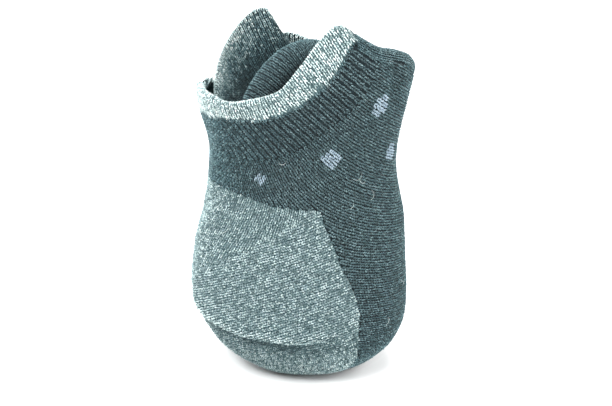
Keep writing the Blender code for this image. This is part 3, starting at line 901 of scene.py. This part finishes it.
def band(out, steps, radius):
    """Cloth that turns over at its top: its places, its length, and how far it reaches down.

    out(t, f) is its face, from its foot, f 0, to its top, f 1.  Flat places count along the top,
    and across it: + down the face, 0 on top, - down the back.
    """
    ts = np.linspace(0, steps - 1, 600)
    top = out(ts, np.ones(600))
    along = np.concatenate([[0], np.cumsum(np.linalg.norm(np.diff(top, axis=0), axis=1))])
    wide = np.linalg.norm(top - out(ts, np.zeros(600)), axis=1)
    quarter = np.pi * radius / 2

    def place(u, q, lift=0.0):
        t = np.interp(u, along, ts)
        deep = np.interp(u, along, wide)
        f = 1 - np.maximum(np.abs(q) - quarter, 0) / deep
        left, right = np.maximum(t - 0.05, 0), np.minimum(t + 0.05, steps - 1)
        over = out(right, f) - out(left, f)
        up = out(t, f + 0.02) - out(t, f - 0.02)
        normal, up = unit(np.cross(over, up)), unit(up)
        turn = np.clip(q / radius, -np.pi / 2, np.pi / 2)
        far = (radius + lift)
        outwards, upwards = (far * np.sin(turn))[..., None], (far * np.cos(turn))[..., None]
        return out(t, f) - normal * radius + normal * outwards + up * upwards

    return place, along[-1], float(wide.max()) + quarter, lambda u: np.interp(u, along, wide) + quarter


def tube(name, sections, material):
    """A closed solid through a row of closed outlines, its ends filled straight across."""
    count, around = sections.shape[:2]
    index = np.arange(count * around).reshape(count, around)
    after = np.roll(index, -1, axis=1)
    sides = np.stack([index[:-1], after[:-1], after[1:], index[1:]], -1).reshape(-1, 4)
    low = np.arange(around // 2 - 1)
    high = around - 1 - low
    ladder = np.stack([low, low + 1, high - 1, high], -1)
    ladder = ladder[ladder[:, 1] < ladder[:, 2]]
    faces = np.concatenate([sides[:, ::-1], index[0][ladder], index[-1][ladder][:, ::-1]])
    return new_mesh(name, sections.reshape(-1, 3), faces, [material])


def band_cloth(name, made, material, columns, sink=SINK, start=0.0, end=None):
    """The ground of a turned band, from the foot of its face over the top to the foot of its back."""
    place, length, _, reach = made
    us = np.linspace(start, length if end is None else end, columns)
    shares = np.array([1, 0.8, 0.6, 0.45, 0.3, 0.2, 0.1, 0, -0.1, -0.2, -0.3, -0.45, -0.6, -0.8, -1])
    u, share = np.meshgrid(us, shares, indexing="ij")
    return tube(name, place(u, share * reach(u), -sink), material)


def straight_maps(extent, wale, course, slope=90.0):
    """Wales square to the band's top."""
    u = np.linspace(extent[0], extent[1], 4)
    ones = np.ones(4)
    return count_maps(u, 0 * ones, slope * ones, wale * ones, course * ones, extent)


def welt_face(t, f):
    step = np.arange(len(WELT["rim_angle"]), dtype=float)
    read = {column: through(step, WELT[column], t) for column in WELT}
    low, high = across_of(read["foot_angle"]), across_of(read["rim_angle"])
    under, over = up_of(read["foot_height"]), up_of(read["rim_height"] - WELT_RADIUS)
    swell = 0.5 * soft_step(f / 0.25) - CORNER_LEAN * f * soft_step((-62 - read["rim_angle"]) / 26)
    return wrap(low + (high - low) * f, under + (over - under) * f, swell)


def fold_face(t, f):
    """The foot's folded top edge, t counting from the mouth's corner in steps of one degree."""
    angle = CORNER_ANGLE + 4.5 + t
    top = fold_height(angle) - FOLD_RADIUS
    low = fold_height(angle) - FOLD_BAND
    return wrap(across_of(angle), up_of(low + (top - low) * f), 0.0 * f)


def ruled(line, bow=0.0):
    """Cloth held straight between a rim and a foot, bowed out a little in the middle."""
    step = np.arange(len(line["rim_x"]), dtype=float)

    def face(t, f):
        rim = np.stack([through(step, line[c], t) for c in ("rim_x", "rim_y", "rim_height")], -1)
        foot = np.stack([through(step, line[c], t) for c in ("foot_x", "foot_y", "foot_height")], -1)
        point = foot + (rim - foot) * f[..., None]
        bowed = np.stack([SHIFT_X + 0 * f, -bow * np.sin(np.pi * np.clip(f, 0, 1)), 0 * f], -1)
        return point + bowed

    return face, len(step)


welt = band(welt_face, len(WELT["rim_angle"]), WELT_RADIUS)
fold = band(fold_face, 241.0, FOLD_RADIUS)
flap = band(*ruled(FLAP, 1.6), RIM_RADIUS)
far_side = band(*ruled(FAR_SIDE), RIM_RADIUS)
RIM_YARNS = [DARK_YARN, MIXED_YARN, WELT_YARN]

welt_shell = band_cloth("cuff_welt_front_cloth", welt, LIGHT_GROUND, 90)


def dark_at_foot(u, q):
    """The rib's yarn comes into the welt's last stitches."""
    near = (np.abs(q) - WELT_REACH + 1.5) / 1.8
    return (np.random.default_rng(33).random(len(u)) < near).astype(int)


def laid_on(made, sink=STITCH_SINK):
    """Places at a depth in the cloth of a band."""
    return lambda u, q: made[0](u, q, -sink)


def on_welt(lift):
    """The welt keeps its count of courses however wide it is."""
    return lambda u, q: welt[0](u, q * welt[3](u) / WELT_REACH, lift)


welt_extent = (0.0, welt[1], -WELT_REACH, WELT_REACH)
# Painted shade: the welt's stitches are darker towards its left end, at the mouth's corner.
welt_stitches = knit(
    "cuff_welt_front_stitches", on_welt(-STITCH_SINK), straight_maps(welt_extent, 1.55, 0.9),
    welt_extent, lambda u, q: (u > 0.5) & (u < welt[1] - 0.5), [WELT_YARN, DARK_YARN], dark_at_foot,
    fill=0.95, rise=0.5, heather=1.0, painted_shade=lambda u, q: -0.3 * soft_step((13 - u) / 9), seed=8,
)
fold_shell = band_cloth("foot_edge_cloth", fold, DARK_GROUND, 150)
fold_extent = (0.0, fold[1], -8.0, 8.0)
fold_stitches = knit(
    "foot_edge_stitches", laid_on(fold), straight_maps(fold_extent, 1.35, 0.8, 0.0), fold_extent,
    lambda u, q: (np.abs(q) < fold[3](u) + 0.2) & (u > 0.8), [DARK_YARN], seed=9,
)


def light_near_rim(most, span, widens, seed):
    """Pale yarn at the rim that thins out over span mm, and less than that before it widens."""
    rng = np.random.default_rng(seed)

    def chosen(u, q):
        broad = 0.35 + 0.65 * soft_step(u / widens)
        mixed = rng.random(len(u)) < most * (1 - soft_step(np.abs(q) / (span * broad))) + 0.03
        pale = rng.random(len(u)) < 1.15 - np.abs(q) / (4.2 * broad)
        return np.where(pale, 2, mixed)

    return chosen


flap_shell = band_cloth("second_cuff_cloth", flap, DARK_GROUND, 40)
flap_extent = (0.0, flap[1], -flap[2], flap[2])
# Painted shade: the second cuff's stitches are darker away from its rim and towards its low end.
flap_stitches = knit(
    "second_cuff_stitches", laid_on(flap), straight_maps(flap_extent, 1.25, 0.68), flap_extent,
    lambda u, q: np.abs(q) < flap[3](u), RIM_YARNS, light_near_rim(0.9, 15, 18, 31), fill=0.9, rise=0.4,
    painted_shade=lambda u, q: -0.4 * soft_step((np.abs(q) + 6 - u / 2) / 12), seed=10,
)
far_shell = band_cloth("cuff_back_cloth", far_side, DARK_GROUND, 60)
far_extent = (0.0, far_side[1], -far_side[2], far_side[2])
far_stitches = knit(
    "cuff_back_stitches", laid_on(far_side), straight_maps(far_extent, 1.5, 0.8), far_extent,
    lambda u, q: (np.abs(q) < far_side[3](u)) & (u < far_side[1] - 1.4), RIM_YARNS,
    light_near_rim(0.95, 9, 1, 32), fill=0.85, rise=0.42, seed=11,
)

# The rolled-over rib in the mouth.
ROLL_RADIUS = 5.2
ROLL_LENGTH = 31.0
ROLL_STEPS = np.linspace(0, 1, len(FOLD_ROLL["x"]))


def roll_place(turn_mm, along, lift=0.0):
    """A place on the roll: mm round it from its top, and mm along it."""
    share = np.clip(along / ROLL_LENGTH, 0, 1)

    def centre(at):
        line = [through(ROLL_STEPS, FOLD_ROLL[column], at) for column in ("x", "y", "height")]
        return np.stack(line, -1)

    axis = unit(centre(np.minimum(share + 0.05, 1)) - centre(np.maximum(share - 0.05, 0)))
    side = unit(np.cross(axis, np.broadcast_to([0.0, 0.0, 1.0], axis.shape)))
    up = np.cross(side, axis)
    turn = turn_mm / ROLL_RADIUS
    deep = through(ROLL_STEPS, FOLD_ROLL["half_depth"], share) + lift
    thick = through(ROLL_STEPS, FOLD_ROLL["half_thickness"], share) + lift
    across = side * (deep * np.sin(turn))[..., None]
    return centre(share) + [SHIFT_X, 0.0, 0.0] + across + up * (thick * np.cos(turn))[..., None]


def painted_roll_shade(turn_mm, along):
    """Painted shade on the roll's lower side, down in the mouth, and its top a little paler as painted
    light.
    """
    return 0.12 - 0.85 * soft_step((0.8 - np.cos(turn_mm / ROLL_RADIUS)) / 1.1)


roll_turns = np.linspace(0, 2 * np.pi * ROLL_RADIUS, 40, endpoint=False)
turns, alongs = np.meshgrid(roll_turns, np.linspace(0, ROLL_LENGTH, 30))
roll_shell = tube("second_cuff_fold_cloth", roll_place(turns, alongs, -SINK), DARK_GROUND)
roll_extent = (-np.pi * ROLL_RADIUS, np.pi * ROLL_RADIUS, 0.0, ROLL_LENGTH)
roll_stitches = knit(
    "second_cuff_fold_stitches", lambda u, v: roll_place(u, v, -STITCH_SINK),
    straight_maps(roll_extent, 0.84, 0.56, 0.0), roll_extent,
    lambda u, v: (v > 0.6) & (v < ROLL_LENGTH - 0.6) & (np.abs(u) < np.pi * ROLL_RADIUS),
    [DARK_YARN], fill=0.86, rise=0.34, width=0.15, heather=0.6, painted_shade=painted_roll_shade, seed=12,
)

# ---------------------------------------------------------------- the feet rolled up inside

SPIRAL_TURNS = 3.2
SPIRAL_STEPS = 120
SPIRAL_HALF_WIDTH, SPIRAL_HALF_DEPTH = 23.5, 18.5
LAYERS_FOOT, LAYERS_TOP = 64.0, 76.2
CORE_COLUMNS = 60
CORE_INSET = 3.5
CORE_LIFT = 0.35  # the core stays off the surface that the bundle stands on


def spiral_face(t, f):
    """The rolled layers' top edge, from the outside in."""
    share = t / (SPIRAL_STEPS - 1)
    angle = np.radians(-100 + 360 * SPIRAL_TURNS * share)
    reach = 1 - 0.86 * share
    x = SHIFT_X + SPIRAL_HALF_WIDTH * reach * np.sin(angle)
    y = -SPIRAL_HALF_DEPTH * reach * np.cos(angle)
    high = LAYERS_TOP - 2.4 * share + 0.8 * np.sin(angle * 1.7)
    return np.stack([x, y, LAYERS_FOOT + (high - LAYERS_FOOT) * f], -1)


layers = band(spiral_face, SPIRAL_STEPS, 1.7)
layers_cloth = band_cloth("rolled_layers_cloth", layers, DARK_GROUND, 200)
layers_extent = (0.0, layers[1], -6.0, 6.0)
layers_stitches = knit(
    "rolled_layers_stitches", laid_on(layers), straight_maps(layers_extent, 1.4, 0.8, 0.0),
    layers_extent, lambda u, q: np.abs(q) < 4.6, [DARK_YARN], seed=13,
)
core_angles = np.linspace(-180, 180, CORE_COLUMNS, endpoint=False)
core_rings = []
for up in np.linspace(0.0, up_of(62.0), 30):
    levels = np.full(CORE_COLUMNS, np.interp(up, UP, LEVELS))
    inner = body(core_angles, levels) - outward(core_angles, levels) * CORE_INSET
    inner[:, 2] = np.maximum(inner[:, 2], CORE_LIFT)
    core_rings.append(inner)
top_ring = core_rings[-1]
# The core's rounded top: how much of the ring below is left, and how high.
for share, height in ((0.97, 66.0), (0.9, 69.5), (0.78, 71.5), (0.4, 72.0), (0.1, 71.0)):
    ring = top_ring.copy()
    ring[:, :2] = ring[:, :2] * share
    ring[:, 2] = height
    core_rings.append(ring)
core = tube("rolled_feet_core", np.array(core_rings)[:, ::-1], DARK_GROUND)

# ---------------------------------------------------------------- nap

THREE_SIDES = (0.0, 2.1, 4.2)  # the corners of a fibre's section, in radians
FIBRE_RADIUS = 0.022
LINT_RADIUS = 0.045
LINT_POINTS = 9


def nap(name, place, extent, region, many, material, tall=0.7, seed=20):
    """Loose fibres that stand off the yarn, each a thin bent spindle."""
    rng = np.random.default_rng(seed)
    u, v = rng.uniform(*extent[:2], many), rng.uniform(*extent[2:], many)
    keep = region(u, v)
    u, v = u[keep], v[keep]
    count = len(u)
    root, over, up = place(u, v), place(u + 0.3, v), place(u, v + 0.3)
    normal = unit(np.cross(over - root, up - root))
    turn = rng.uniform(0, 2 * np.pi, count)[:, None]
    lean = np.cos(turn) * unit(over - root) + np.sin(turn) * unit(up - root)
    long = tall * rng.uniform(0.35, 1.0, (count, 1))
    middle = root + normal * long * 0.6 + lean * long * 0.35
    tip = root + normal * long * 0.8 + lean * long * rng.uniform(0.7, 1.3, (count, 1))
    side = np.cross(normal, lean)
    ring = [middle + FIBRE_RADIUS * (np.cos(a) * side + np.sin(a) * lean) for a in THREE_SIDES]
    points = np.stack([root - normal * 0.1, *ring, tip], 1)
    faces = np.array([(0, 2, 1), (0, 3, 2), (0, 1, 3), (4, 1, 2), (4, 2, 3), (4, 3, 1)])
    all_faces = faces + (np.arange(count) * 5)[:, None, None]
    tone = np.repeat(rng.uniform(0.4, 1.0, count), 5)
    return new_mesh(name, points.reshape(-1, 3), all_faces.reshape(-1, 3), [material], tone=tone)


def lint(name, places, material, seed=26):
    """Long loose fibres that lie on the cloth: where, how long, which way and how bent."""
    rng = np.random.default_rng(seed)
    points, faces = [], []
    for angle, height, long, turn, bend in zip(*places.values()):
        share = np.linspace(0, 1, LINT_POINTS)
        step = long / (LINT_POINTS - 1)
        way = np.radians(turn) + np.radians(bend) * (share - 0.5)
        u = across_of(angle) + np.concatenate([[0], np.cumsum(np.cos(way[1:]))]) * step
        v = up_of(height) + np.concatenate([[0], np.cumsum(np.sin(way[1:]))]) * step
        line = wrap(u, v, 0.12 + 0.5 * np.sin(np.pi * share) * rng.uniform(0.4, 1.0))
        axis = unit(np.gradient(line, axis=0))
        side = unit(np.cross(axis, line - np.array([SHIFT_X, 0.0, 50.0])))
        rise = np.cross(axis, side)
        thick = (LINT_RADIUS * np.sin(np.pi * np.clip(share, 0.06, 0.94)) ** 0.5)[:, None]
        first = len(points) * 3 * LINT_POINTS
        last = first + 3 * (LINT_POINTS - 1)
        ring = [line + thick * (np.cos(a) * side + np.sin(a) * rise) for a in THREE_SIDES]
        points.append(np.stack(ring, 1))
        for i in range(LINT_POINTS - 1):
            for j, k in ((0, 1), (1, 2), (2, 0)):
                a, b = first + 3 * i + j, first + 3 * i + k
                faces += [(a, b, b + 3), (a, b + 3, a + 3)]
        faces += [(first, first + 2, first + 1), (last, last + 1, last + 2)]
    points = np.concatenate(points).reshape(-1, 3)
    return new_mesh(name, points, np.array(faces), [material], tone=np.full(len(points), 0.85))


LINT = table(
    "angle height long turn bend",
    [
        (29, 69.0, 4.0, 15, 120), (34, 68.5, 3.0, -30, 140), (26, 60.0, 2.5, 40, 90),
        (42, 61.5, 3.5, 70, 110), (-14, 74.5, 3.0, 5, 100), (-52, 50.0, 5.0, 30, 60),
        (-60, 57.0, 3.5, 35, 70), (-64, 53.0, 3.0, 20, 80), (-36, 88.5, 5.0, 100, 100),
        (-24, 89.5, 4.0, 75, 90), (22, 21.0, 3.0, 95, 60), (50, 20.0, 3.0, 60, 80),
        (70, 30.0, 3.0, 120, 90), (100, 55.0, 4.0, 20, 110), (140, 47.0, 3.5, 80, 100),
        (-170, 66.0, 4.0, 50, 90), (-150, 44.0, 3.0, 10, 130), (-110, 36.0, 3.0, 60, 80),
    ],
)
lint_fibres = lint("lint", LINT, WELT_YARN)
off_cloth = surface(-0.15)
heel_nap = nap("heel_nap", off_cloth, WHOLE_HEEL, in_heel, 9000, LIGHT_YARN, seed=21)
dark_nap = nap(
    "dark_cloth_nap", off_cloth, DARK_CLOTH, lambda u, v: in_leg(u, v) | in_rib(u, v) | in_foot(u, v),
    15000, MIXED_YARN, tall=0.6, seed=22,
)
welt_nap = nap(
    "cuff_welt_nap", on_welt(-NAP_SINK), welt_extent, lambda u, q: q > -3, 3000, WELT_YARN,
    seed=23,
)
flap_nap = nap(
    "second_cuff_nap", laid_on(flap, NAP_SINK), flap_extent, lambda u, q: np.abs(q) < flap[3](u),
    2600, MIXED_YARN, seed=24,
)
fold_nap = nap(
    "foot_edge_nap", laid_on(fold, NAP_SINK), fold_extent, lambda u, q: np.abs(q) < 4.5, 3000,
    MIXED_YARN, seed=25,
)

# ---------------------------------------------------------------- what each piece is, and the solids it hides

# Each cloth: its flat size in metres, what it rests on, the solids it stands for, its slot, and what
# is worked on it.
SHEETS = (
    (heel_shell, (0.085, 0.075), "rolled_feet", ["heel_pocket"], "heather_light",
     [heel_upper, heel_lower, heel_nap]),
    (leg_shell, (0.075, 0.016), "rolled_feet", ["leg"], "charcoal_knit", [leg_stitches]),
    (foot_shell, (0.130, 0.080), "rolled_feet", ["foot"], "charcoal_knit",
     [foot_right, foot_back, dark_nap, lint_fibres]),
    (rib_shell, (0.075, 0.018), "rolled_feet", ["cuff_rib_front"], "charcoal_rib",
     [rib_stitches, rib_inside]),
    (welt_shell, (0.070, 0.010), "cuff_rib_front", ["cuff_welt_front"], "heather_light",
     [welt_stitches, welt_nap]),
    (fold_shell, (0.080, 0.010), "foot", [], "charcoal_knit", [fold_stitches, fold_nap]),
    (flap_shell, (0.040, 0.024), "rolled_feet", ["second_cuff_rib", "second_cuff_welt"],
     "charcoal_rib", [flap_stitches, flap_nap]),
    (far_shell, (0.065, 0.024), "rolled_feet", ["cuff_rib_back", "cuff_welt_back"],
     "charcoal_rib", [far_stitches]),
    (layers_cloth, (0.250, 0.012), "rolled_feet", [], "charcoal_knit", [layers_stitches]),
)
OTHER_SLOTS = {lint_fibres: "heather_light", flap_nap: "charcoal_knit"}
for cloth, flat, under, nodes, slot, worked in SHEETS:
    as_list(worked)
    if nodes:
        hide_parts(*nodes)
    for piece in (cloth, *worked):
        OTHER_SLOTS.get(piece, slot)
for soft, fill, node, slot in (
    (core, 0.9, "rolled_feet", "charcoal_knit"), (roll_shell, 0.6, "second_cuff_fold", "charcoal_rib"),
):
    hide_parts(node)

# ---------------------------------------------------------------- room, light and camera


def pale_floor(size=3.0):
    """A sheet of white paper, matt, without grain at this distance."""
    mesh = bpy.data.meshes.new("pale_floor")
    corners = [(-size, -size, 0), (size, -size, 0), (size, size, 0), (-size, size, 0)]
    mesh.from_pydata(corners, [], [(0, 1, 2, 3)])
    floor = bpy.data.objects.new("pale_floor", mesh)
    bpy.context.scene.collection.objects.link(floor)
    material, _, shader = matt_material("pale_paper", 1.0, 0.0)
    shader.inputs["Base Color"].default_value = linear("#FFFFFF")
    mesh.materials.append(material)


def area_light(name, place, size, power, aim=(0.0, 0.0, 0.055)):
    """A square soft light, turned towards the middle of the bundle."""
    light = bpy.data.lights.new(name, "AREA")
    light.size = size
    light.energy = power
    lamp = bpy.data.objects.new(name, light)
    lamp.location = place
    lamp.rotation_euler = (Vector(aim) - Vector(place)).to_track_quat("-Z", "Y").to_euler()
    bpy.context.scene.collection.objects.link(lamp)


pale_floor()
world = bpy.data.worlds.new("soft_room")
world.use_nodes = True
world.node_tree.nodes["Background"].inputs["Color"].default_value = (1.0, 1.0, 1.0, 1.0)
world.node_tree.nodes["Background"].inputs["Strength"].default_value = 0.5
bpy.context.scene.world = world
area_light("soft_key", (-0.35, -0.50, 0.85), 0.5, 11.0)
area_light("soft_fill", (0.6, -0.4, 0.5), 0.6, 3.5)
area_light("left_edge", (-0.60, 0.20, 0.40), 0.5, 4.0)
area_light("right_edge", (0.60, 0.20, 0.30), 0.5, 4.5)
area_light("above", (0.0, 0.05, 0.9), 0.7, 9.5)

bpy.context.scene.view_settings.view_transform = "Standard"
bpy.context.scene.view_settings.look = "None"

DISTANCE, ELEVATION = 0.520, np.radians(21.0)
TARGET = np.array([0.00165, 0.0, 0.0535])
camera_data = bpy.data.cameras.new("camera")
camera_data.sensor_width = 36.0
camera_data.lens = 98.7
camera = bpy.data.objects.new("camera", camera_data)
camera.location = TARGET + DISTANCE * np.array([0.0, -np.cos(ELEVATION), np.sin(ELEVATION)])
camera.rotation_euler = (np.pi / 2 - ELEVATION, 0.0, 0.0)
bpy.context.scene.collection.objects.link(camera)
bpy.context.scene.camera = camera
